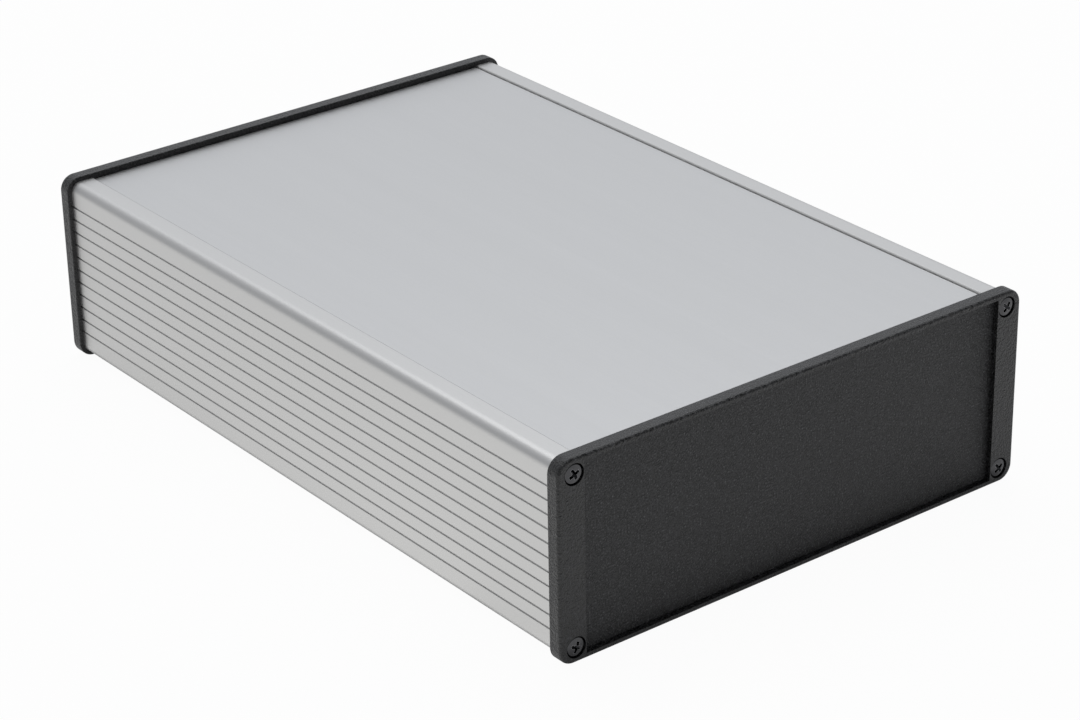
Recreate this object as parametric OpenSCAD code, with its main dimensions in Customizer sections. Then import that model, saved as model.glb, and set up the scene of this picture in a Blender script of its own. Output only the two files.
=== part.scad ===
// Extruded aluminium instrument case with a sliding lid, two open end bezels,
// two recessed end panels and eight self-tapping screws.
// Millimetres. X is the width, Y the length with the front end at -Y, Z is up.
// The origin is on the ground under the middle of the case.

/* [Body] */
// Length of the aluminium body between the bezels
body_l = 220; // [120:10:400]
// Width of the aluminium body over its side walls
body_w = 152; // [110:1:200]
// Height of the aluminium body without the bezels
body_h = 53.5; // [50:0.5:80]
// Radius of the body's four outside corners
corner_r = 3; // [2.5:0.1:3.5]
// Thickness of the two side walls
side_wall = 2; // [1.8:0.1:2.4]
// Thickness of the floor
floor_t = 1.8; // [1.5:0.1:2.5]

/* [Side grooves] */
// Grooves along each side wall
groove_count = 11; // [0:1:11]
// Distance from one groove to the next
groove_pitch = 3.94; // [3:0.01:4.2]
// Width of a groove
groove_w = 0.5; // [0.3:0.1:0.9]
// Depth of a groove
groove_d = 0.4; // [0.2:0.1:0.7]

/* [Lid and its guides] */
// Width of the two fixed strips beside the lid
strip_w = 7.35; // [7.2:0.05:7.6]
// Thickness of the lip that holds the lid down
lip_t = 1.5; // [1.2:0.1:1.7]
// How far the lip reaches over the lid's foot
lip_reach = 1; // [0.8:0.1:1.2]
// Height of the slot under the lip
slot_h = 1.5; // [1.3:0.1:1.6]
// Thickness of the shelf that carries the lid
shelf_t = 1.3; // [1:0.1:1.6]
// How far the lid's face lies below the two strips
lid_drop = 0.5; // [0.2:0.1:0.8]
// Thickness of the lid's plate
lid_t = 1.7; // [1.5:0.1:2]
// Open gap along each long edge of the lid
lid_gap = 0.25; // [0.2:0.05:0.6]
// Bevel on the lid's edges and on the lips
edge_bevel = 0.25; // [0.1:0.05:0.35]

/* [Card slots] */
// Pairs of card slots on the side walls
card_slots = 4; // [1:1:4]
// Width of a card slot, for a 1.6 board
card_slot_w = 2; // [1.8:0.1:2.4]
// Thickness of the ribs beside a card slot
card_rib_t = 1.1; // [0.9:0.1:1.3]
// How far the ribs stand out of the wall
card_rib_d = 2.3; // [1.5:0.1:2.8]

/* [Bezels and panels] */
// How far the bezels stand proud of the body
proud = 1.3; // [1:0.1:2]
// Depth of a bezel along the case
bezel_d = 4.2; // [4:0.1:6]
// Width of a bezel's two side strips, seen from the end
bezel_strip = 8.2; // [8:0.1:8.6]
// Thickness of a bezel's top and bottom rails
bezel_rail = 1.5; // [1.3:0.1:2]
// Radius that softens the outer edge of a bezel's face
bezel_soft = 0.8; // [0.4:0.1:1]
// Radius that softens a bezel's edge on the side of the body
back_soft = 0.3; // [0.1:0.1:0.5]
// Thickness of an end panel
panel_t = 2.5; // [1.5:0.1:2.8]
// How far a panel reaches behind each side strip
panel_lap = 1.2; // [0.6:0.1:1.4]
// Free gap round a panel
panel_gap = 0.1; // [0.05:0.05:0.3]

/* [Screws] */
// Screw spacing across the case
screw_dx = 144.5; // [102:0.1:193]
// Screw spacing up the case
screw_dz = 47.5; // [43:0.1:74.5]
// Diameter of the screw channels in the body
channel_dia = 2.5; // [2.3:0.1:2.7]
// Outside diameter of the wall round a screw channel
boss_dia = 5.4; // [4.8:0.1:5.6]
// Width of the opening along a screw channel
channel_gap = 1; // [0.6:0.1:1.4]
// Diameter of a screw head
head_dia = 5.3; // [4.8:0.1:5.5]
// Height of a screw head
head_h = 1.95; // [1.6:0.05:2.2]
// Diameter of the counterbore round a screw head
counterbore_dia = 5.9; // [5.7:0.1:6]
// Length of a screw under its head
screw_l = 13; // [8:0.5:20]

/* [Hidden] */
$fn = 64;

// Levels, measured up from the ground
body_z0 = proud;
body_z1 = proud + body_h;
mid_z = proud + body_h / 2;
lip_z = body_z1 - lip_t;
shelf_z = lip_z - slot_h;
lid_z = body_z1 - lid_drop;

// Distances from the middle plane
shelf_reach = 1.75;
body_x = body_w / 2;
inner_x = body_x - side_wall;
lip_x = body_x - strip_w;
slot_x = lip_x + lip_reach;
shelf_x = lip_x - shelf_reach;
screw_x = screw_dx / 2;

// Screw channels: the slit runs from the bore's middle just past the ring
slit_l = boss_dia / 2 + 0.1;

// Lid: its foot has play under the lip, beside the stop and at both ends
foot_play = 0.15;
side_play = 0.2;
end_play = 0.2;
foot_x = slot_x - side_play;
foot_w = 3.2;
lid_x = lip_x - lid_gap;

// Card slots: the ribs fill the height between the lower and upper screw channels
rib_clear = 1.6;
rib_z0 = mid_z - screw_dz / 2 + boss_dia / 2 + rib_clear;
rib_z1 = mid_z + screw_dz / 2 - boss_dia / 2 - rib_clear;
card_h = card_slot_w + 2 * card_rib_t;
card_pitch = (rib_z1 - rib_z0 - card_h) / max(card_slots - 1, 1);

// Bezels and panels
bezel_w = body_w + 2 * proud;
bezel_h = body_h + 2 * proud;
bezel_r = corner_r + proud;
opening_w = bezel_w - 2 * bezel_strip;
opening_h = bezel_h - 2 * bezel_rail;
panel_w = opening_w + 2 * panel_lap;
panel_h = opening_h - 2 * panel_gap;
clearance_dia = 3.2;
post_dia = 6.2;
core_w = 3.6;
core_d = 2.9;
core_end = 5;

// Screws: the head's seat, measured out from the end of the body
seat_d = 2.4;
shank_dia = channel_dia - 0.06;
dome_r = 7.3;
tip_l = 2.2;
tip_dia = 0.9;
recess_span = 3.1;
recess_foot = 1.1;
recess_w = 0.72;
recess_d = 1.35;

// A small overlap between joined shapes, and how far a cut runs past a surface
eps = 0.01;
over = 1;

// Rectangle centred on x, standing on y = 0, with four round corners
module round_rect(w, h, r) {
    translate([r - w / 2, 0]) square([w - 2 * r, h]);
    translate([-w / 2, r]) square([w, h - 2 * r]);
    for (x = [r - w / 2, w / 2 - r], y = [r, h - r]) {
        translate([x, y]) circle(r);
    }
}

// Rectangle with x from x0 to x1 and y from y0 to y1
module span(x0, x1, y0, y1) {
    translate([x0, y0]) square([x1 - x0, y1 - y0]);
}

// The same thing on the right and, mirrored, on the left
module both_sides() {
    children();
    mirror([1, 0, 0]) children();
}

// Sets a drawing upright and runs it along the case, from y1 back to y0
module along(y0, y1) {
    translate([0, y1, 0]) rotate([90, 0, 0]) linear_extrude(y1 - y0) children();
}

// Swaps the front end of the case for the rear end
module rear_end() {
    rotate([0, 0, 180]) children();
}

// ---------------------------------------------------------------- body

// Open ring round a screw channel, one at each corner of the section
module channel_rings() {
    for (z = [mid_z - screw_dz / 2, mid_z + screw_dz / 2]) {
        translate([screw_x, z]) circle(d = boss_dia);
    }
}

// Bore of the two channels and the slit that lets each of them breathe
module channel_cuts() {
    for (up = [-1, 1]) {
        translate([screw_x, mid_z + up * screw_dz / 2]) {
            circle(d = channel_dia);
            translate([-channel_gap / 2, up > 0 ? -slit_l : 0]) square([channel_gap, slit_l]);
        }
    }
}

// Shelf and stop that carry and guide one edge of the lid
module lid_guide() {
    span(shelf_x, screw_x, shelf_z - shelf_t, shelf_z);
    span(slot_x, screw_x, shelf_z - eps, lip_z + eps);
}

// Pairs of ribs that hold a circuit card by its edge
module card_ribs() {
    for (i = [0 : card_slots - 1]) {
        z = rib_z0 + i * card_pitch;
        for (rib = [z, z + card_rib_t + card_slot_w]) {
            span(inner_x - card_rib_d, inner_x + eps, rib, rib + card_rib_t);
        }
    }
}

// Row of grooves in the outside of one side wall
module side_grooves() {
    for (i = [0 : groove_count - 1]) {
        z = mid_z + (i - (groove_count - 1) / 2) * groove_pitch;
        span(body_x - groove_d, body_x + over, z - groove_w / 2, z + groove_w / 2);
    }
}

// Bevel along the lip's edge beside the lid
module lip_bevel() {
    polygon([
        [lip_x - eps, body_z1 - edge_bevel],
        [lip_x + edge_bevel, body_z1 + eps],
        [lip_x - eps, body_z1 + eps]
    ]);
}

// Cross-section of the body: one open trough, drawn through one die
module body_section() {
    difference() {
        union() {
            difference() {
                translate([0, body_z0]) round_rect(body_w, body_h, corner_r);
                span(-inner_x, inner_x, body_z0 + floor_t, lip_z);
                span(-lip_x, lip_x, lip_z - over, body_z1 + over);
            }
            both_sides() {
                channel_rings();
                lid_guide();
                card_ribs();
            }
        }
        both_sides() {
            channel_cuts();
            side_grooves();
            lip_bevel();
        }
    }
}

module body_extrusion() {
    color([0.75, 0.75, 0.74]) along(-body_l / 2, body_l / 2) body_section();
}

// ---------------------------------------------------------------- lid

// Right half of the lid's outline, from the foot up to the middle of its face
function lid_edge() = [
    [foot_x - foot_w, lid_z - lid_t],
    [foot_x - foot_w, shelf_z],
    [foot_x, shelf_z],
    [foot_x, lip_z - foot_play],
    [lid_x, lip_z - foot_play],
    [lid_x, lid_z - edge_bevel],
    [lid_x - edge_bevel, lid_z]
];

module lid_section() {
    right = lid_edge();
    left = [for (i = [len(right) - 1 : -1 : 0]) [-right[i][0], right[i][1]]];
    polygon(concat(right, left));
}

module lid_plate() {
    half_l = body_l / 2 - end_play;
    color([0.77, 0.77, 0.78]) along(-half_l, half_l) lid_section();
}

// ---------------------------------------------------------------- bezels and panels

// Edge of a bezel cut through: its depth across from the back at x = 0, and upwards
// out to the corner radius
module soft_edge() {
    face_x = bezel_d - bezel_soft;
    span(0, bezel_d, 0, bezel_r - bezel_soft);
    span(0, face_x, 0, bezel_r - back_soft);
    span(back_soft, face_x, 0, bezel_r);
    translate([back_soft, bezel_r - back_soft]) circle(back_soft);
    translate([face_x, bezel_r - bezel_soft]) circle(bezel_soft);
}

// Quarter turn of the soft edge round one corner of the bezel
module soft_corner() {
    rotate([90, 0, 0]) rotate_extrude(angle = 90) {
        rotate([0, 0, 90]) mirror([0, 1, 0]) soft_edge();
    }
}

// Straight run of the soft edge along +X, with its length l
module soft_run(l) {
    rotate([90, 0, 90]) linear_extrude(l) mirror([1, 0, 0]) soft_edge();
}

// Solid slab with the bezel's outline and soft outer edges, from y = -bezel_d to y = 0
module soft_slab() {
    straight_w = bezel_w - 2 * bezel_r;
    straight_h = bezel_h - 2 * bezel_r;
    translate([-straight_w / 2, -bezel_d, bezel_r]) cube([straight_w, bezel_d, straight_h]);
    translate([0, 0, bezel_h / 2]) for (turn = [0, 180]) rotate([0, turn, 0]) {
        translate([-straight_w / 2, 0, straight_h / 2]) soft_run(straight_w);
        translate([straight_w / 2, 0, straight_h / 2]) rotate([0, 90, 0]) soft_run(straight_h);
        translate([straight_w / 2, 0, straight_h / 2]) soft_corner();
        translate([straight_w / 2, 0, -straight_h / 2]) rotate([0, 90, 0]) soft_corner();
    }
}

// Holes for the screws, cut from the front of a bezel
module bezel_holes() {
    for (x = [-screw_x, screw_x], z = [mid_z - screw_dz / 2, mid_z + screw_dz / 2]) {
        translate([x, over, z]) rotate([90, 0, 0]) cylinder(d = clearance_dia, h = bezel_d + 2 * over);
        translate([x, -seat_d, z]) rotate([90, 0, 0]) cylinder(d = counterbore_dia, h = bezel_d);
    }
}

// Pocket behind each side strip that keeps the moulding's walls even
module bezel_cores() {
    core_h = screw_dz - 2 * core_end;
    for (x = [-screw_x, screw_x]) {
        translate([x - core_w / 2, -core_d, mid_z - core_h / 2]) cube([core_w, core_d + over, core_h]);
    }
}

// Rectangle that leaves the four screw posts free, seen from the front
module between_posts(w, h, post) {
    difference() {
        span(-w / 2, w / 2, mid_z - h / 2, mid_z + h / 2);
        for (x = [-screw_x, screw_x], z = [mid_z - screw_dz / 2, mid_z + screw_dz / 2]) {
            translate([x, z]) circle(d = post);
        }
    }
}

// Open moulded frame, with its back on y = 0
module bezel() {
    difference() {
        soft_slab();
        along(-bezel_d - over, over) {
            span(-opening_w / 2, opening_w / 2, bezel_rail, bezel_rail + opening_h);
        }
        along(-panel_t, over) between_posts(panel_w + 2 * panel_gap, opening_h, post_dia);
        bezel_holes();
        bezel_cores();
    }
}

// Flat panel, notched at its corners round the bezel's screw posts
module end_panel() {
    along(-panel_t, 0) between_posts(panel_w, panel_h, post_dia + 2 * panel_gap);
}

module front_bezel() {
    color([0.13, 0.13, 0.14]) translate([0, -body_l / 2, 0]) bezel();
}

module rear_bezel() {
    color([0.13, 0.13, 0.14]) rear_end() translate([0, -body_l / 2, 0]) bezel();
}

module front_panel() {
    color([0.17, 0.17, 0.17]) translate([0, -body_l / 2, 0]) end_panel();
}

module rear_panel() {
    color([0.17, 0.17, 0.17]) rear_end() translate([0, -body_l / 2, 0]) end_panel();
}

// ---------------------------------------------------------------- screws

// Half outline of the pan head with its domed top
module head_profile() {
    intersection() {
        square([head_dia / 2, head_h]);
        translate([0, head_h - dome_r]) circle(dome_r);
    }
}

// Cross recess: two blades that narrow towards the bottom
module cross_recess() {
    for (turn = [0, 90]) {
        rotate([0, 0, turn]) rotate([90, 0, 0]) translate([0, 0, -recess_w / 2]) linear_extrude(recess_w) {
            polygon([
                [-recess_span / 2, head_h + eps],
                [-recess_foot / 2, head_h - recess_d],
                [recess_foot / 2, head_h - recess_d],
                [recess_span / 2, head_h + eps]
            ]);
        }
    }
}

// Self-tapping screw standing on its seat: head above z = 0, shank below
module tapping_screw() {
    difference() {
        rotate_extrude() {
            head_profile();
            span(0, shank_dia / 2, tip_l - screw_l, eps);
            polygon([
                [0, -screw_l],
                [tip_dia / 2, -screw_l],
                [shank_dia / 2, tip_l - screw_l],
                [0, tip_l - screw_l]
            ]);
        }
        cross_recess();
    }
}

// One screw of the front end: side -1 is left, up -1 is the bottom row
module end_screw(side, up, turn) {
    translate([side * screw_x, -body_l / 2 - seat_d, mid_z + up * screw_dz / 2]) {
        rotate([90, 0, 0]) rotate([0, 0, turn]) color([0.12, 0.12, 0.13]) tapping_screw();
    }
}

body_extrusion();
lid_plate();
front_bezel();
rear_bezel();
front_panel();
rear_panel();
end_screw(-1, 1, 20);  // front_screw_top_left
end_screw(1, 1, 55);  // front_screw_top_right
end_screw(-1, -1, 70);  // front_screw_bottom_left
end_screw(1, -1, 35);  // front_screw_bottom_right
rear_end() end_screw(1, 1, 10);  // rear_screw_top_left
rear_end() end_screw(-1, 1, 48);  // rear_screw_top_right
rear_end() end_screw(1, -1, 81);  // rear_screw_bottom_left
rear_end() end_screw(-1, -1, 27);  // rear_screw_bottom_right
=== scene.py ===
# %% [markdown]
# # An extruded aluminium instrument case
#
# The case is a long trough of satin anodised aluminium with a flat lid that
# slides in from one end. A black moulded bezel closes each end and carries a
# recessed black panel, and four black pan-head screws hold it. This lesson
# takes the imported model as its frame, gives its pieces their finishes and
# fine edges, and lights them on a white table.

# %% Open the frame
import math

import bmesh
import bpy
from mathutils import Matrix, Quaternion, Vector


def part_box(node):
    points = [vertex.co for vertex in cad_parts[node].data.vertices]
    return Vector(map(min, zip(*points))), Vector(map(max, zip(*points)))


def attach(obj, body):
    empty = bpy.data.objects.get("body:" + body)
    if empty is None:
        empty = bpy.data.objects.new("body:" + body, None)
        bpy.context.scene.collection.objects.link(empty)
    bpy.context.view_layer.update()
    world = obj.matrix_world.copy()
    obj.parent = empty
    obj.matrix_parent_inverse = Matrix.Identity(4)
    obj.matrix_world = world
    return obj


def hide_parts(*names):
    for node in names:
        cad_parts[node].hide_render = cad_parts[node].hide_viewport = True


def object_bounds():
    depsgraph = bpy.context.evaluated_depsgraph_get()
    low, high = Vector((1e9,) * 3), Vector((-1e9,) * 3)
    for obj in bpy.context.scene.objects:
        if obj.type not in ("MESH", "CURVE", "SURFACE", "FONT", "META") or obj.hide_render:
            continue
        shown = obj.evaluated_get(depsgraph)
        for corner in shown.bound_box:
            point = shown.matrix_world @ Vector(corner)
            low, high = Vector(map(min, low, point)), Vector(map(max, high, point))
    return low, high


MM = 0.001
WELD = 0.001 * MM
HARD_ANGLE = math.radians(35)

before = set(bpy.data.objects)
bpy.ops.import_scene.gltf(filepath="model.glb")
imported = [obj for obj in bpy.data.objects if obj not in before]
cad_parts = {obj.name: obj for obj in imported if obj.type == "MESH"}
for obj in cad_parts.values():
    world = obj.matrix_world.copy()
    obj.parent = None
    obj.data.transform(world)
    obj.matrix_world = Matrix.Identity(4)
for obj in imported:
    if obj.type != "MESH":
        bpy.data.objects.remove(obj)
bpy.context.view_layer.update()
print("pieces in the frame:", ", ".join(sorted(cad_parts)))

# %% [markdown]
# ## Helpers for node trees
#
# Every finish and every repeated part below is a tree of nodes. Three small
# helpers keep them short: one adds a node and fills its sockets, one does a
# calculation, and one opens a new group with named sockets.


# %% Helpers for node trees
def add(tree, kind, inputs=None, **settings):
    """One new node. A socket given as an input is linked, anything else is its value."""
    made = tree.nodes.new(kind)
    for name, value in settings.items():
        setattr(made, name, value)
    for key, value in (inputs or {}).items():
        if isinstance(value, bpy.types.NodeSocket):
            tree.links.new(value, made.inputs[key])
        else:
            made.inputs[key].default_value = value
    return made


def math_node(tree, operation, *values):
    """The result of one calculation on up to three values."""
    made = add(tree, "ShaderNodeMath", dict(enumerate(values)), operation=operation)
    return made.outputs[0]


def new_group(name, kind, inputs, outputs):
    """An empty node group, with its input and output nodes."""
    tree = bpy.data.node_groups.new(name, kind)
    for title, socket, start in inputs:
        made = tree.interface.new_socket(title, in_out="INPUT", socket_type=socket)
        if start is not None:
            made.default_value = start
    for title, socket in outputs:
        tree.interface.new_socket(title, in_out="OUTPUT", socket_type=socket)
    return tree, tree.nodes.new("NodeGroupInput"), tree.nodes.new("NodeGroupOutput")


FLOAT = "NodeSocketFloat"
VECTOR = "NodeSocketVector"
GEOMETRY = "NodeSocketGeometry"


# %% [markdown]
# ## Grain
#
# Spark-eroded plastic, anodised metal and plated screws all have a fine,
# directionless grain, and only its scale and depth differ. One group makes
# it from two noises, a fine one and a weaker one about three times coarser,
# and hands out a value round zero, so each finish can add it to anything.
# Its second output marks the few highest grains, which the plastics paint bright as glints.


# %% Grain group
def grain_group():
    """Fine irregular grain round zero, with its size in millimetres."""
    tree, given, result = new_group(
        "Grain",
        "ShaderNodeTree",
        [("Vector", VECTOR, None), ("Size mm", FLOAT, 0.4)],
        [("Grain", FLOAT), ("Painted glints", FLOAT)],
    )
    per_metre = math_node(tree, "DIVIDE", 1 / MM, given.outputs["Size mm"])
    fine = add(
        tree,
        "ShaderNodeTexNoise",
        {"Vector": given.outputs["Vector"], "Scale": per_metre, "Detail": 2.0},
    )
    wide = math_node(tree, "MULTIPLY", per_metre, 0.31)
    coarse = add(
        tree,
        "ShaderNodeTexNoise",
        {"Vector": given.outputs["Vector"], "Scale": wide, "Detail": 1.0},
    )
    both = math_node(tree, "MULTIPLY_ADD", coarse.outputs[0], 0.3, fine.outputs[0])
    centred = math_node(tree, "SUBTRACT", both, 0.65)
    painted_glint_spots = add(
        tree,
        "ShaderNodeMapRange",
        {"Value": fine.outputs[0], "From Min": 0.58, "From Max": 0.72},
        interpolation_type="SMOOTHSTEP",
    )
    tree.links.new(centred, result.inputs["Grain"])
    tree.links.new(painted_glint_spots.outputs[0], result.inputs["Painted glints"])
    return tree


GRAIN = grain_group()
print("group made:", GRAIN.name)

# %% [markdown]
# ## Die lines
#
# An extruded section is pushed through a die, and whatever roughness the
# die's lip has is drawn along the whole length. Seen close, the faces carry
# faint parallel lines that never cross and hardly change from end to end.
# The group stretches a noise 250 times along Y.


# %% Die line group
def die_line_group():
    """Faint parallel lines along Y, round zero."""
    tree, given, result = new_group(
        "Die lines",
        "ShaderNodeTree",
        [("Vector", VECTOR, None), ("Spacing mm", FLOAT, 1.0)],
        [("Lines", FLOAT), ("Bands", FLOAT)],
    )
    drawn = add(
        tree,
        "ShaderNodeMapping",
        {"Vector": given.outputs["Vector"], "Scale": (1.0, 0.004, 1.0)},
    )
    per_metre = math_node(tree, "DIVIDE", 1 / MM, given.outputs["Spacing mm"])
    lines = add(
        tree,
        "ShaderNodeTexNoise",
        {"Vector": drawn.outputs[0], "Scale": per_metre, "Detail": 3.0},
    )
    wide = math_node(tree, "MULTIPLY", per_metre, 0.08)
    bands = add(
        tree,
        "ShaderNodeTexNoise",
        {"Vector": drawn.outputs[0], "Scale": wide, "Detail": 1.0},
    )
    tree.links.new(math_node(tree, "SUBTRACT", lines.outputs[0], 0.5), result.inputs["Lines"])
    tree.links.new(math_node(tree, "SUBTRACT", bands.outputs[0], 0.5), result.inputs["Bands"])
    return tree


DIE_LINES = die_line_group()
print("group made:", DIE_LINES.name)

# %% [markdown]
# ## Edge wear and painted glints
#
# Handling rubs corners first. Where a rounded normal leaves the real one,
# there is an edge, so the difference between the two is a mask of edges. A
# noise breaks it up, because nothing rubs evenly. The screws use the same
# mask to paint glints on the edges of their recess.


# %% Rubbed edge and glint group
def rubs_and_glints_group():
    """A mask of edges, for wear and for painted glints."""
    tree, given, result = new_group(
        "Rubbed edges and glints",
        "ShaderNodeTree",
        [("Vector", VECTOR, None), ("Width mm", FLOAT, 0.3), ("Amount", FLOAT, 1.0)],
        [("Rubs and glints", FLOAT)],
    )
    width = math_node(tree, "MULTIPLY", given.outputs["Width mm"], MM)
    rounded = add(tree, "ShaderNodeBevel", {"Radius": width}, samples=4)
    plain = add(tree, "ShaderNodeNewGeometry")
    same = add(
        tree,
        "ShaderNodeVectorMath",
        {0: rounded.outputs[0], 1: plain.outputs["Normal"]},
        operation="DOT_PRODUCT",
    )
    edge = add(
        tree,
        "ShaderNodeMapRange",
        {"Value": same.outputs["Value"], "From Min": 0.995, "From Max": 0.8},
    )
    patches = add(
        tree,
        "ShaderNodeTexNoise",
        {"Vector": given.outputs["Vector"], "Scale": 240.0, "Detail": 3.0},
    )
    broken = math_node(tree, "MULTIPLY", edge.outputs[0], patches.outputs[0])
    worn = math_node(tree, "MULTIPLY", broken, given.outputs["Amount"])
    tree.links.new(worn, result.inputs["Rubs and glints"])
    return tree


RUBS_AND_GLINTS_MASK = rubs_and_glints_group()
print("group made:", RUBS_AND_GLINTS_MASK.name)


# %% [markdown]
# ## Satin anodised aluminium
#
# The body and the lid are the same alloy, etched matt and clear anodised.
# That makes a metal with a broad, soft reflection, a fine grain and faint
# die lines. The lid comes from its own die and lot, and is a touch cooler.


# %% Satin aluminium
def use_group(tree, group, inputs):
    """The outputs of a group placed in a material with its own values."""
    return add(tree, "ShaderNodeGroup", inputs, node_tree=group).outputs


def new_material(name):
    """A material with a Principled shader, and Object coordinates to work from."""
    made = bpy.data.materials.new(name)
    made.use_nodes = True
    tree = made.node_tree
    shader = tree.nodes["Principled BSDF"]
    place = tree.nodes.new("ShaderNodeTexCoord").outputs["Object"]
    return made, tree, shader, place


def around(tree, middle, *parts):
    """middle plus the sum of (value, share) pairs."""
    total = None
    for value, share in parts:
        start = middle if total is None else total
        total = math_node(tree, "MULTIPLY_ADD", value, share, start)
    return total


def tinted(tree, colour, brightness):
    """A colour times a changing brightness."""
    made = add(
        tree,
        "ShaderNodeVectorMath",
        {0: colour, 1: brightness},
        operation="MULTIPLY",
    )
    return made.outputs[0]


def bumped(tree, height, depth_mm):
    """The normal of a surface with this height pattern."""
    made = add(
        tree,
        "ShaderNodeBump",
        {"Height": height, "Distance": depth_mm * MM, "Strength": 1.0},
    )
    return made.outputs[0]


def satin_aluminium(name, colour, roughness):
    """Bright metal, matt from its etch, with grain and die lines."""
    made, tree, shader, place = new_material(name)
    grain = use_group(tree, GRAIN, {"Vector": place, "Size mm": 0.22})
    lines = use_group(tree, DIE_LINES, {"Vector": place, "Spacing mm": 0.5})
    rubs_and_glints = use_group(tree, RUBS_AND_GLINTS_MASK, {"Vector": place, "Width mm": 0.2, "Amount": 0.3})
    tone = around(
        tree,
        1.0,
        (grain["Grain"], 0.10),
        (lines["Lines"], 0.05),
        (lines["Bands"], 0.02),
        (rubs_and_glints["Rubs and glints"], 0.2),
    )
    rough = around(
        tree,
        roughness,
        (grain["Grain"], 0.12),
        (lines["Lines"], 0.06),
        (rubs_and_glints["Rubs and glints"], -0.15),
    )
    height = around(
        tree,
        0.5,
        (grain["Grain"], 0.8),
        (lines["Lines"], 0.5),
    )
    tree.links.new(tinted(tree, colour, tone), shader.inputs["Base Color"])
    tree.links.new(rough, shader.inputs["Roughness"])
    tree.links.new(bumped(tree, height, 0.006), shader.inputs["Normal"])
    shader.inputs["Metallic"].default_value = 1.0
    return made


BODY_METAL = satin_aluminium("satin_aluminium_body", (0.615, 0.613, 0.605), 0.42)
LID_METAL = satin_aluminium("satin_aluminium_lid", (0.598, 0.60, 0.60), 0.42)
print("metals made:", BODY_METAL.name, LID_METAL.name)


# %% [markdown]
# ## Textured black plastic
#
# The bezels are moulded in a mould that was spark-eroded, which leaves a
# pebbled skin, and the panels are cut from sheet with a like texture. The
# pebbles scatter the light, and the few highest ones catch a small glint,
# which is painted into the colour as bright specks.


# %% Black plastic
def textured_plastic(name, colour, roughness, specular, size_mm, depth_mm):
    """Black plastic with pebbles of a size and a depth in millimetres."""
    made, tree, shader, place = new_material(name)
    grain = use_group(tree, GRAIN, {"Vector": place, "Size mm": size_mm})
    rubs_and_glints = use_group(tree, RUBS_AND_GLINTS_MASK, {"Vector": place, "Width mm": 0.35, "Amount": 0.5})
    tone = around(
        tree,
        1.0,
        (grain["Grain"], 7.0),
        # painted glints: the highest grains are painted bright in the colour
        (grain["Painted glints"], 3.0),
        (rubs_and_glints["Rubs and glints"], 0.9),
    )
    tone = math_node(tree, "MAXIMUM", tone, 0.1)
    rough = around(tree, roughness, (grain["Grain"], 0.5), (rubs_and_glints["Rubs and glints"], -0.1))
    tree.links.new(tinted(tree, colour, tone), shader.inputs["Base Color"])
    tree.links.new(rough, shader.inputs["Roughness"])
    tree.links.new(bumped(tree, grain["Grain"], depth_mm), shader.inputs["Normal"])
    shader.inputs["IOR"].default_value = 1.5
    shader.inputs["Specular IOR Level"].default_value = specular
    return made


BEZEL_BLACK = textured_plastic("bezel_plastic", (0.009, 0.009, 0.0096), 0.32, 0.5, 0.55, 0.4)
PANEL_BLACK = textured_plastic("panel_plastic", (0.026, 0.026, 0.0265), 0.45, 0.36, 0.5, 0.35)
print("plastics made:", BEZEL_BLACK.name, PANEL_BLACK.name)


# %% [markdown]
# ## Blackened screw steel
#
# Small tapping screws are hardened, plated and blackened. What is left is a
# dark metal with a smooth, oily shine. The edges of the cross recess carry
# painted glints: the edge mask brightens them far more here than on the mouldings.


# %% Screw steel
def blackened_steel():
    """Dark shiny metal with painted glints on the edges of its recess."""
    made, tree, shader, place = new_material("black_screw_steel")
    grain = use_group(tree, GRAIN, {"Vector": place, "Size mm": 0.15})
    rubs_and_glints = use_group(tree, RUBS_AND_GLINTS_MASK, {"Vector": place, "Width mm": 0.15, "Amount": 1.0})
    # painted glints: the edge mask brightens the recess edges ninefold
    tone = around(tree, 1.0, (grain["Grain"], 0.4), (rubs_and_glints["Rubs and glints"], 9.0))
    rough = around(tree, 0.14, (grain["Grain"], 0.2))
    tree.links.new(tinted(tree, (0.075, 0.075, 0.078), tone), shader.inputs["Base Color"])
    tree.links.new(rough, shader.inputs["Roughness"])
    tree.links.new(bumped(tree, grain["Grain"], 0.004), shader.inputs["Normal"])
    shader.inputs["Metallic"].default_value = 1.0
    return made


SCREW_BLACK = blackened_steel()
print("steel made:", SCREW_BLACK.name)

# %% [markdown]
# ## The drawn sections
#
# The body and the lid are what an extrusion press makes: one outline, pushed
# straight on. So one tree makes both. It takes the outline as a ring of
# edges, rounds its sharp corners as a real die rounds them, fills it and
# pulls it to its length. The outline is read off the end of the frame's own
# piece, so the drawn piece can't drift away from it. The fine rounding is
# what catches the thin bright lines along the seams and the grooves.


# %% Read the outline off the end of a piece
AT_END = 0.01 * MM
FACES_END = 0.9


def merged_copy(node):
    """A piece of the frame as one welded shell, in its own bmesh."""
    shell = bmesh.new()
    shell.from_mesh(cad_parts[node].data)
    bmesh.ops.remove_doubles(shell, verts=shell.verts, dist=WELD)
    return shell


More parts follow.
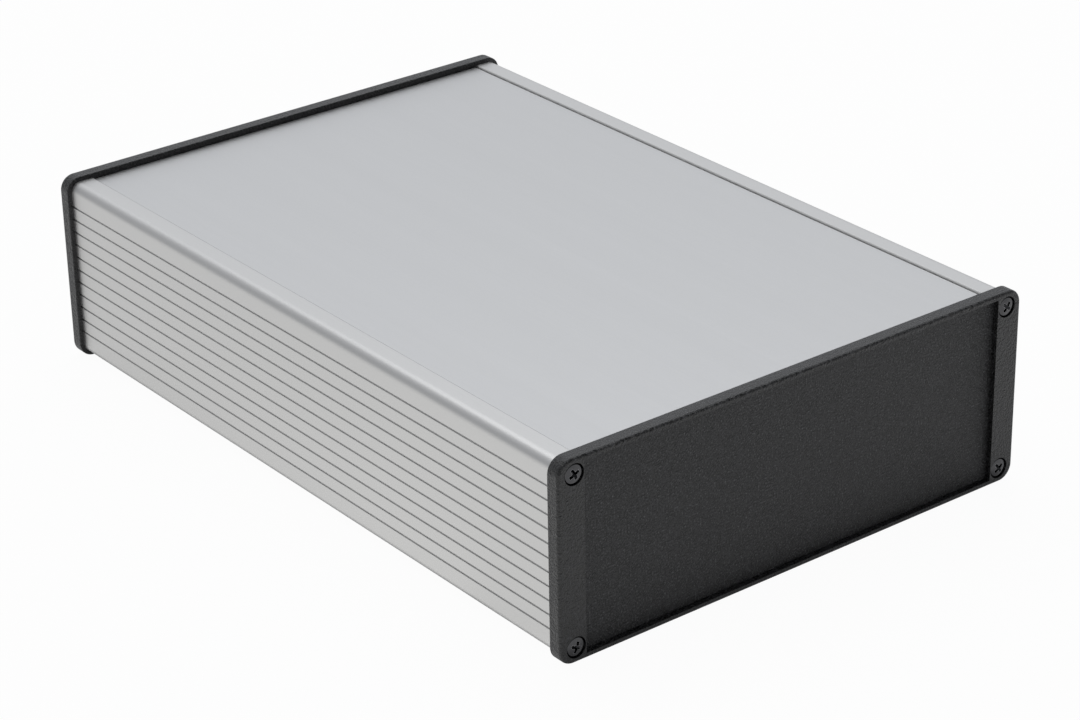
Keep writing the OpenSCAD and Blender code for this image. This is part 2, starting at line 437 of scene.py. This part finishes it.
def end_outline(node, sharp_degrees=25.0):
    """The ring of edges round the front end of a drawn piece, laid in X and Y.

    Each corner carries 1 in the attribute "sharp" if the outline turns there
    by more than sharp_degrees, and 0 where it only follows an arc.
    """
    shell = merged_copy(node)
    front = min(vert.co.y for vert in shell.verts)
    rim = [
        edge
        for edge in shell.edges
        if all(abs(vert.co.y - front) < AT_END for vert in edge.verts)
        and sum(abs(face.normal.y) > FACES_END for face in edge.link_faces) == 1
    ]
    index = {}
    for edge in rim:
        for vert in edge.verts:
            index.setdefault(vert, len(index))
    mesh = bpy.data.meshes.new(node + "_outline")
    points = [(vert.co.x, vert.co.z, 0.0) for vert in index]
    mesh.from_pydata(points, [[index[v] for v in edge.verts] for edge in rim], [])
    sharp = mesh.attributes.new("sharp", "FLOAT", "POINT")
    ring = set(rim)
    for vert, number in index.items():
        ways = [edge.other_vert(vert).co - vert.co for edge in vert.link_edges if edge in ring]
        turn = math.degrees(math.pi - ways[0].angle(ways[1]))
        sharp.data[number].value = 1.0 if turn > sharp_degrees else 0.0
    shell.free()
    return mesh


# %% Tree for drawn sections
def drawn_section_tree():
    """The tree that rounds, fills and pulls an outline."""
    tree, given, result = new_group(
        "Drawn section",
        "GeometryNodeTree",
        [
            ("Outline", GEOMETRY, None),
            ("Length", FLOAT, 0.2),
            ("Softening", FLOAT, 0.15 * MM),
            ("Finish", "NodeSocketMaterial", None),
        ],
        [("Geometry", GEOMETRY)],
    )
    ring = add(tree, "GeometryNodeMeshToCurve", {0: given.outputs["Outline"]})
    sharp = add(tree, "GeometryNodeInputNamedAttribute", {"Name": "sharp"}, data_type="FLOAT")
    radius = math_node(tree, "MULTIPLY", sharp.outputs[0], given.outputs["Softening"])
    rounded = add(
        tree,
        "GeometryNodeFilletCurve",
        {"Curve": ring.outputs[0], "Radius": radius, "Limit Radius": True, "Count": 3},
        mode="POLY",
    )
    filled = add(tree, "GeometryNodeFillCurve", {0: rounded.outputs[0]}, mode="NGONS")
    along = add(
        tree,
        "GeometryNodeExtrudeMesh",
        {
            "Mesh": filled.outputs[0],
            "Offset": (0.0, 0.0, 1.0),
            "Offset Scale": given.outputs["Length"],
            "Individual": False,
        },
        mode="FACES",
    )
    near_end = add(tree, "GeometryNodeFlipFaces", {"Mesh": filled.outputs[0]})
    joined = tree.nodes.new("GeometryNodeJoinGeometry")
    tree.links.new(along.outputs["Mesh"], joined.inputs[0])
    tree.links.new(near_end.outputs[0], joined.inputs[0])
    welded = add(
        tree, "GeometryNodeMergeByDistance", {"Geometry": joined.outputs[0], "Distance": WELD}
    )
    smooth = add(tree, "GeometryNodeSetShadeSmooth", {0: welded.outputs[0], "Shade Smooth": True})
    bend = tree.nodes.new("GeometryNodeInputMeshEdgeAngle").outputs["Unsigned Angle"]
    hard = add(
        tree,
        "FunctionNodeCompare",
        {0: bend, 1: HARD_ANGLE},
        data_type="FLOAT",
        operation="GREATER_THAN",
    )
    crisp = add(
        tree,
        "GeometryNodeSetShadeSmooth",
        {0: smooth.outputs[0], "Selection": hard.outputs[0], "Shade Smooth": False},
        domain="EDGE",
    )
    half = math_node(tree, "MULTIPLY", given.outputs["Length"], 0.5)
    back = add(tree, "ShaderNodeCombineXYZ", {"Y": half})
    upright = add(
        tree,
        "GeometryNodeTransform",
        {
            "Geometry": crisp.outputs[0],
            "Rotation": (math.radians(90), 0.0, 0.0),
            "Translation": back.outputs[0],
        },
    )
    real = add(tree, "GeometryNodeRealizeInstances", {0: upright.outputs[0]})
    dressed = add(
        tree,
        "GeometryNodeSetMaterial",
        {"Geometry": real.outputs[0], "Material": given.outputs["Finish"]},
    )
    tree.links.new(dressed.outputs[0], result.inputs[0])
    return tree


DRAWN = drawn_section_tree()
print("tree made:", DRAWN.name)


# %% Turn a tree's result into a plain piece
def keep_faces_flat(piece):
    """Large faces keep their own normals, so only the small edges shade round."""
    weighted = piece.modifiers.new("flat_faces", "WEIGHTED_NORMAL")
    weighted.mode = "FACE_AREA"
    weighted.keep_sharp = True


def baked(name, mesh, tree, values, flat_faces=False):
    """The mesh that a tree makes of mesh, as a plain object with no modifier."""
    source = bpy.data.objects.new(name + "_source", mesh)
    bpy.context.scene.collection.objects.link(source)
    nodes = source.modifiers.new("tree", "NODES")
    nodes.node_group = tree
    for item in tree.interface.items_tree:
        if item.item_type == "SOCKET" and item.in_out == "INPUT" and item.name in values:
            nodes[item.identifier] = values[item.name]
    if flat_faces:
        keep_faces_flat(source)
    bpy.context.view_layer.update()
    graph = bpy.context.evaluated_depsgraph_get()
    result = bpy.data.meshes.new_from_object(source.evaluated_get(graph))
    source.modifiers.clear()
    bpy.data.objects.remove(source)
    made = bpy.data.objects.new(name, result)
    bpy.context.scene.collection.objects.link(made)
    result.calc_loop_triangles()
    print(f"{name}: {len(result.loop_triangles)} triangles")
    return made


def take_place(piece, slot, *nodes):
    """A finished piece stands for nodes of the frame and rides with them."""
    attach(piece, "root")
    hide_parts(*nodes)
    for node in nodes:
        low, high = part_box(node)
        print(f"  stands for {node}: {[round(v / MM, 2) for v in (high - low)]} mm")


# %% Draw the body and the lid
DRAWN_PIECES = [
    ("drawn_body", "body_extrusion", BODY_METAL, 0.1 * MM),
    ("drawn_lid", "lid_plate", LID_METAL, 0.06 * MM),
]
for name, node, finish, softening in DRAWN_PIECES:
    low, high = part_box(node)
    piece = baked(
        name,
        end_outline(node),
        DRAWN,
        {"Length": high.y - low.y, "Softening": softening, "Finish": finish},
        flat_faces=True,
    )
    take_place(piece, "satin_aluminium", node)


# %% [markdown]
# ## Bezels and panels
#
# A moulding never has a knife edge: steel moulds are polished and the parts
# shrink, which leaves every corner with a small round. The frame's bezels
# are right to size but sharp round their openings and screw holes, so each
# visual bezel is a welded copy with those edges taken off by a tenth of a
# millimetre or so.


# %% Soften the edges of a moulding
CORNER_ANGLE = math.radians(50)
FLAT_ANGLE = math.radians(1)
EDGE_WIDTH = 0.15 * MM


def softened(name, node, width, finish):
    """A welded copy of a moulding with its sharp edges taken off by a width."""
    shell = merged_copy(node)
    bmesh.ops.dissolve_limit(shell, angle_limit=FLAT_ANGLE, verts=shell.verts, edges=shell.edges)
    hard = [
        edge
        for edge in shell.edges
        if len(edge.link_faces) == 2 and edge.calc_face_angle() > CORNER_ANGLE
    ]
    bmesh.ops.bevel(
        shell,
        geom=hard,
        offset=width,
        segments=2,
        profile=0.5,
        affect="EDGES",
        clamp_overlap=True,
    )
    bmesh.ops.triangulate(shell, faces=[face for face in shell.faces if len(face.verts) > 4])
    for face in shell.faces:
        face.smooth = True
    for edge in shell.edges:
        if len(edge.link_faces) == 2:
            edge.smooth = edge.calc_face_angle() < HARD_ANGLE
    mesh = bpy.data.meshes.new(name)
    shell.to_mesh(mesh)
    shell.free()
    mesh.materials.append(finish)
    made = bpy.data.objects.new(name, mesh)
    bpy.context.scene.collection.objects.link(made)
    keep_faces_flat(made)
    print(f"{name}: {len(mesh.polygons)} faces, {len(hard)} edges softened")
    return made


for end in ("front", "rear"):
    bezel = softened(f"moulded_{end}_bezel", f"{end}_bezel", EDGE_WIDTH, BEZEL_BLACK)
    take_place(bezel, "bezel_plastic", f"{end}_bezel")
    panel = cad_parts[f"{end}_panel"]
    panel.data.materials.clear()
    panel.data.materials.append(PANEL_BLACK)


# %% [markdown]
# ## Screws
#
# Eight equal tapping screws hold the bezels: a low domed pan head with a
# cross recess, and a coarse thread that cuts its own way into the channel.
# One screw is shaped as a turned profile whose shank radius rises and falls
# with the thread's helix, and the recess is cut by two tapered blades. A
# tree then sets one screw on each seat, turned as its point says.


# %% Shape of one screw, in millimetres
HEAD_R = 2.65
HEAD_H = 1.95
HEAD_DOME = 7.3
HEAD_ROUND = 0.3
SHANK_R = 1.22
ROOT_R = 0.95
SCREW_L = 13.0
TIP_L = 2.2
TIP_R = 0.45
PITCH = 1.1
STEPS = 32
RINGS_PER_TURN = 8
DOME_STEPS = 6
ROUND_STEPS = 4
SEAT_EDGE = 0.08
SHANK_ROUND = 0.1
THREAD_START = 0.6
THREAD_SLOPE = 2.2


def head_outline():
    """Radius and height from the middle of the dome down to the seat."""

    def dome(radius):
        return HEAD_H - HEAD_DOME + math.sqrt(HEAD_DOME**2 - radius**2)

    inner = HEAD_R - HEAD_ROUND
    radii = [inner * i / DOME_STEPS for i in range(1, DOME_STEPS + 1)]
    points = [(radius, dome(radius)) for radius in radii]
    rim = dome(inner) - HEAD_ROUND
    for i in range(1, ROUND_STEPS + 1):
        angle = math.radians(90 - 90 * i / ROUND_STEPS)
        points.append((inner + HEAD_ROUND * math.cos(angle), rim + HEAD_ROUND * math.sin(angle)))
    seat = [(HEAD_R, SEAT_EDGE), (HEAD_R - SEAT_EDGE, 0.0), (SHANK_R + SHANK_ROUND, 0.0)]
    return points + seat


def thread_radius(depth, turn):
    """Radius of the shank at a depth under the seat, at a share of a turn."""
    tip = min(1.0, max(0.0, (SCREW_L - depth) / TIP_L))
    crest = abs((depth / PITCH + turn) % 1.0 - 0.5) * 2.0
    ridge = max(0.0, 1.0 - crest * THREAD_SLOPE) if depth > THREAD_START else 0.0
    full = ROOT_R + (SHANK_R - ROOT_R) * ridge
    return TIP_R + (full - TIP_R) * tip


def screw_shell():
    """The closed skin of a screw that stands on its seat, before its recess."""
    shell = bmesh.new()
    rings = [[point] * STEPS for point in head_outline()]
    count = int(SCREW_L / PITCH * RINGS_PER_TURN)
    for i in range(1, count + 1):
        depth = SCREW_L * i / count
        rings.append([(thread_radius(depth, j / STEPS), -depth) for j in range(STEPS)])
    rows = []
    for ring in rings:
        row = []
        for j, (radius, height) in enumerate(ring):
            angle = 2 * math.pi * j / STEPS
            place = (radius * math.cos(angle), radius * math.sin(angle), height)
            row.append(shell.verts.new([v * MM for v in place]))
        rows.append(row)
    top = shell.verts.new((0, 0, HEAD_H * MM))
    foot = shell.verts.new((0, 0, -SCREW_L * MM))
    for j in range(STEPS):
        k = (j + 1) % STEPS
        shell.faces.new((top, rows[0][j], rows[0][k]))
        shell.faces.new((foot, rows[-1][k], rows[-1][j]))
        for upper, lower in zip(rows, rows[1:]):
            shell.faces.new((upper[j], lower[j], lower[k], upper[k]))
    bmesh.ops.recalc_face_normals(shell, faces=shell.faces)
    return shell


RECESS_SPAN = 3.5
RECESS_FOOT = 1.1
RECESS_W = 0.9
RECESS_FOOT_W = 0.648
RECESS_D = 1.35
ABOVE = 0.05


def blade_mesh():
    """One blade of the cross: wide at the head's face, narrow at its foot."""
    blade = bmesh.new()
    corners = []
    face = (RECESS_SPAN / 2, RECESS_W / 2, HEAD_H + ABOVE)
    foot = (RECESS_FOOT / 2, RECESS_FOOT_W / 2, HEAD_H - RECESS_D)
    for half, wall, height in (face, foot):
        for x, y in ((-half, -wall), (half, -wall), (half, wall), (-half, wall)):
            corners.append(blade.verts.new((x * MM, y * MM, height * MM)))
    blade.faces.new(corners[:4])
    blade.faces.new(corners[4:])
    for i in range(4):
        k = (i + 1) % 4
        blade.faces.new((corners[i], corners[k], corners[k + 4], corners[i + 4]))
    bmesh.ops.recalc_face_normals(blade, faces=blade.faces)
    mesh = bpy.data.meshes.new("recess_blade")
    blade.to_mesh(mesh)
    blade.free()
    return mesh


SCREW_SMOOTH = math.radians(32)


def one_screw():
    """The screw with its cross recess cut."""
    mesh = bpy.data.meshes.new("tapping_screw")
    shell = screw_shell()
    shell.to_mesh(mesh)
    shell.free()
    screw = bpy.data.objects.new("tapping_screw", mesh)
    bpy.context.scene.collection.objects.link(screw)
    blades = []
    for turn in (0, 90):
        blade = bpy.data.objects.new("recess_blade", blade_mesh())
        blade.data.transform(Matrix.Rotation(math.radians(turn), 4, "Z"))
        bpy.context.scene.collection.objects.link(blade)
        cut = screw.modifiers.new("recess", "BOOLEAN")
        cut.operation = "DIFFERENCE"
        cut.solver = "EXACT"
        cut.object = blade
        blades.append(blade)
    bpy.context.view_layer.update()
    graph = bpy.context.evaluated_depsgraph_get()
    result = bpy.data.meshes.new_from_object(screw.evaluated_get(graph))
    for tool in [screw, *blades]:
        bpy.data.objects.remove(tool)
    shell = bmesh.new()
    shell.from_mesh(result)
    for face in shell.faces:
        face.smooth = True
    for edge in shell.edges:
        if len(edge.link_faces) == 2:
            edge.smooth = edge.calc_face_angle() < SCREW_SMOOTH
    shell.to_mesh(result)
    shell.free()
    made = bpy.data.objects.new("tapping_screw", result)
    bpy.context.scene.collection.objects.link(made)
    return made


# %% Seats of the screws
TURN = {
    "front_screw_top_left": 26,
    "front_screw_top_right": 52,
    "front_screw_bottom_left": 68,
    "front_screw_bottom_right": 36,
    "rear_screw_top_left": 10,
    "rear_screw_top_right": 48,
    "rear_screw_bottom_left": 81,
    "rear_screw_bottom_right": 27,
}


def screw_seats():
    """One point on each seat, with the way its screw faces."""
    places, ways = [], []
    for node, turn in TURN.items():
        low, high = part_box(node)
        middle = (low + high) / 2
        front = node.startswith("front")
        face = low.y + HEAD_H * MM if front else high.y - HEAD_H * MM
        places.append((middle.x, face, middle.z))
        way = Matrix.Rotation(0.0 if front else math.pi, 3, "Z")
        way = way @ Matrix.Rotation(math.radians(90), 3, "X")
        way = way @ Matrix.Rotation(math.radians(turn), 3, "Z")
        ways.append(way.to_euler())
    mesh = bpy.data.meshes.new("screw_seats")
    mesh.from_pydata(places, [], [])
    facing = mesh.attributes.new("facing", "FLOAT_VECTOR", "POINT")
    for item, way in zip(facing.data, ways):
        item.vector = way
    return mesh


# %% Tree that sets the screws
def screw_tree():
    """The tree that puts the screw on every seat, facing as the seat says."""
    tree, given, result = new_group(
        "Set screws",
        "GeometryNodeTree",
        [
            ("Seats", GEOMETRY, None),
            ("Screw", "NodeSocketObject", None),
            ("Finish", "NodeSocketMaterial", None),
        ],
        [("Geometry", GEOMETRY)],
    )
    shape = add(tree, "GeometryNodeObjectInfo", {"Object": given.outputs["Screw"]})
    facing = add(
        tree, "GeometryNodeInputNamedAttribute", {"Name": "facing"}, data_type="FLOAT_VECTOR"
    )
    turned = add(tree, "FunctionNodeEulerToRotation", {0: facing.outputs[0]})
    spread = add(
        tree,
        "GeometryNodeInstanceOnPoints",
        {
            "Points": given.outputs["Seats"],
            "Instance": shape.outputs["Geometry"],
            "Rotation": turned.outputs[0],
        },
    )
    real = add(tree, "GeometryNodeRealizeInstances", {0: spread.outputs[0]})
    dressed = add(
        tree,
        "GeometryNodeSetMaterial",
        {"Geometry": real.outputs[0], "Material": given.outputs["Finish"]},
    )
    tree.links.new(dressed.outputs[0], result.inputs[0])
    return tree


# %% Set the screws
pattern = one_screw()
screws = baked(
    "tapping_screws",
    screw_seats(),
    screw_tree(),
    {"Screw": pattern, "Finish": SCREW_BLACK},
)
bpy.data.objects.remove(pattern)
take_place(screws, "black_screw_steel", *TURN)


# %% [markdown]
# ## Table and backdrop
#
# The case stands on a white sheet that runs out of sight. The camera sees it
# almost as plain white, and the small rest of its true paper shade keeps the
# shadow of the case. Shiny surfaces see a white too, with painted light and
# shade on it: it is painted paler toward the viewer, and painted darker in
# front of the end panel, most of all close to it, as the shade where the case
# shuts the light out.


# %% Table
TABLE_HALF = 4.0
TABLE_Z = -0.0002
SEEN_WHITE = 0.96
PAPER = (0.9, 0.9, 0.9, 1.0)
FAR_TONE = 0.73
TONE_RISE = 0.27
TONE_FROM_Y = 0.16
TONE_TO_Y = -0.08
# painted shade in the white that shiny surfaces see
FRONT_SHADE = 0.3
CONTACT_SHADE = 0.48
CONTACT_REACH = 14 * MM


def ramp(tree, value, low, high):
    """0 below low, 1 above high, and a smooth rise between them."""
    made = add(
        tree,
        "ShaderNodeMapRange",
        {"Value": value, "From Min": low, "From Max": high},
        interpolation_type="SMOOTHSTEP",
    )
    return made.outputs[0]


def table_material(low):
    """Paper that the camera and shiny surfaces see as white; low is the case's low corner."""
    made = bpy.data.materials.new("white_table")
    made.use_nodes = True
    tree = made.node_tree
    tree.nodes.clear()
    paper = add(tree, "ShaderNodeBsdfDiffuse", {"Color": PAPER})
    white = add(tree, "ShaderNodeEmission", {"Color": (1, 1, 1, 1), "Strength": 1.0})
    ray = tree.nodes.new("ShaderNodeLightPath").outputs
    place = tree.nodes.new("ShaderNodeTexCoord").outputs["Object"]
    parts = add(tree, "ShaderNodeSeparateXYZ", {0: place}).outputs
    mirror = math_node(tree, "ADD", ray["Is Glossy Ray"], ray["Is Transmission Ray"])
    # painted light: the white that shiny surfaces see is paler toward the viewer
    ahead = ramp(tree, parts["Y"], TONE_FROM_Y, TONE_TO_Y)
    tone = math_node(tree, "MULTIPLY_ADD", ahead, TONE_RISE, FAR_TONE)
    close = ramp(tree, parts["Y"], low.y - CONTACT_REACH, low.y)
    beside = math_node(tree, "GREATER_THAN", parts["X"], low.x)
    # painted shade in front of the end panel, strongest close to the case
    shade = math_node(tree, "MULTIPLY_ADD", close, CONTACT_SHADE, FRONT_SHADE)
    kept = math_node(tree, "SUBTRACT", 1.0, math_node(tree, "MULTIPLY", shade, beside))
    mirrored = math_node(tree, "MULTIPLY", mirror, math_node(tree, "MULTIPLY", tone, kept))
    seen = math_node(tree, "MULTIPLY", ray["Is Camera Ray"], SEEN_WHITE)
    share = math_node(tree, "ADD", seen, mirrored)
    mix = add(tree, "ShaderNodeMixShader", {0: share, 1: paper.outputs[0], 2: white.outputs[0]})
    out = tree.nodes.new("ShaderNodeOutputMaterial")
    tree.links.new(mix.outputs[0], out.inputs["Surface"])
    return made


def flat_sheet(name, half, z):
    """A square sheet at a height."""
    mesh = bpy.data.meshes.new(name)
    corners = [(-half, -half, z), (half, -half, z), (half, half, z), (-half, half, z)]
    mesh.from_pydata(corners, [], [(0, 1, 2, 3)])
    made = bpy.data.objects.new(name, mesh)
    bpy.context.scene.collection.objects.link(made)
    return made


white_table = table_material(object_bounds()[0])
table = flat_sheet("white_table", TABLE_HALF, TABLE_Z)
table.data.materials.append(white_table)
print("table laid:", table.name)


# %% [markdown]
# ## World
#
# Satin metal shows the room as broad soft tones, so the room is what shapes
# it. This one has a large pale light high up behind the case, weaker to the
# left, a middling tone low behind it, and a darker room on the viewer's
# side. The tones follow the direction alone. They give the lid its even
# grey and the round left edge its bright line with a dark one beside it.
# The camera itself sees plain white.


# %% World
SKY_COLOUR = (0.73, 0.745, 0.775, 1.0)
ROOM_LOW = 0.42
ROOM_HIGH = 0.2
BEHIND_LOW = 0.21
BEHIND_LOW_RIGHT = 0.43
BEHIND_HIGH = 0.6
BEHIND_HIGH_RIGHT = 0.47


def studio_world():
    """A world whose tone depends on the height, the side and the depth of a direction."""
    world = bpy.data.worlds.new("white_studio")
    bpy.context.scene.world = world
    world.use_nodes = True
    tree = world.node_tree
    tree.nodes.clear()
    direction = tree.nodes.new("ShaderNodeTexCoord").outputs["Generated"]
    parts = add(tree, "ShaderNodeSeparateXYZ", {0: direction}).outputs
    up = ramp(tree, parts["Z"], 0.38, 0.78)
    behind = ramp(tree, parts["Y"], -0.4, 0.35)
    right_low = ramp(tree, parts["X"], -0.55, 0.25)
    right_high = ramp(tree, parts["X"], -0.3, 0.3)
    low_part = math_node(tree, "MULTIPLY_ADD", right_low, BEHIND_LOW_RIGHT, BEHIND_LOW)
    high_part = math_node(tree, "MULTIPLY_ADD", right_high, BEHIND_HIGH_RIGHT, BEHIND_HIGH)
    low_tone = math_node(tree, "MULTIPLY_ADD", behind, low_part, ROOM_LOW)
    high_tone = math_node(tree, "MULTIPLY_ADD", behind, high_part, ROOM_HIGH)
    rise = math_node(tree, "SUBTRACT", high_tone, low_tone)
    tone = math_node(tree, "MULTIPLY_ADD", rise, up, low_tone)
    light = add(tree, "ShaderNodeBackground", {"Color": SKY_COLOUR, "Strength": tone})
    white = add(tree, "ShaderNodeBackground", {"Strength": 1.0})
    ray = tree.nodes.new("ShaderNodeLightPath")
    mix = add(
        tree,
        "ShaderNodeMixShader",
        {0: ray.outputs["Is Camera Ray"], 1: light.outputs[0], 2: white.outputs[0]},
    )
    out = tree.nodes.new("ShaderNodeOutputWorld")
    tree.links.new(mix.outputs[0], out.inputs["Surface"])
    return world


print("world made:", studio_world().name)


# %% [markdown]
# ## Lamp
#
# One wide softbox hangs over the case, a little behind it. It lights the
# table and the black mouldings from above, and its size keeps the shadow
# soft and close to the case.


# %% Lamp
def soft_lamp(name, place, aim, size, watts):
    """A square softbox at a place, turned to a point."""
    data = bpy.data.lights.new(name, "AREA")
    data.shape = "SQUARE"
    data.size = size
    data.energy = watts
    made = bpy.data.objects.new(name, data)
    bpy.context.scene.collection.objects.link(made)
    made.location = place
    made.rotation_mode = "QUATERNION"
    made.rotation_quaternion = (Vector(aim) - Vector(place)).to_track_quat("-Z", "Y")
    return made


lamp = soft_lamp("softbox_overhead", place=(0.1, 0.3, 1.3), aim=(0, 0, 0), size=1.2, watts=5.0)
print("lamp hung:", lamp.name)


# %% [markdown]
# ## Camera
#
# A long lens from the front left and above shows the lid, the grooved side
# and one end at once, with little narrowing toward the back. The camera is
# rolled by one degree, as one held by hand or on a tripod often is.


# %% Camera
CLIP_START = 0.01
CLIP_END = 50.0


def studio_camera(aim, azimuth, elevation, distance, roll, lens):
    """A camera that looks at aim from a turn and a height, with a small tilt."""
    turn, rise = math.radians(azimuth), math.radians(elevation)
    flat = math.cos(rise)
    out = Vector((math.sin(turn) * flat, -math.cos(turn) * flat, math.sin(rise)))
    data = bpy.data.cameras.new("studio_camera")
    data.lens = lens
    data.sensor_width = 36.0
    data.clip_start, data.clip_end = CLIP_START, CLIP_END
    made = bpy.data.objects.new("studio_camera", data)
    bpy.context.scene.collection.objects.link(made)
    made.location = Vector(aim) + out * distance
    made.rotation_mode = "QUATERNION"
    tilt = Quaternion((0, 0, 1), math.radians(roll))
    made.rotation_quaternion = out.to_track_quat("Z", "Y") @ tilt
    bpy.context.scene.camera = made
    return made


camera = studio_camera(
    aim=(-10.86 * MM, -22.38 * MM, 28.17 * MM),
    azimuth=-37.72,
    elevation=26.08,
    distance=874.1 * MM,
    roll=-1.018,
    lens=107.95,
)
bpy.context.scene.view_settings.view_transform = "Standard"
print("camera set:", camera.name, "with a lens of", camera.data.lens, "mm")
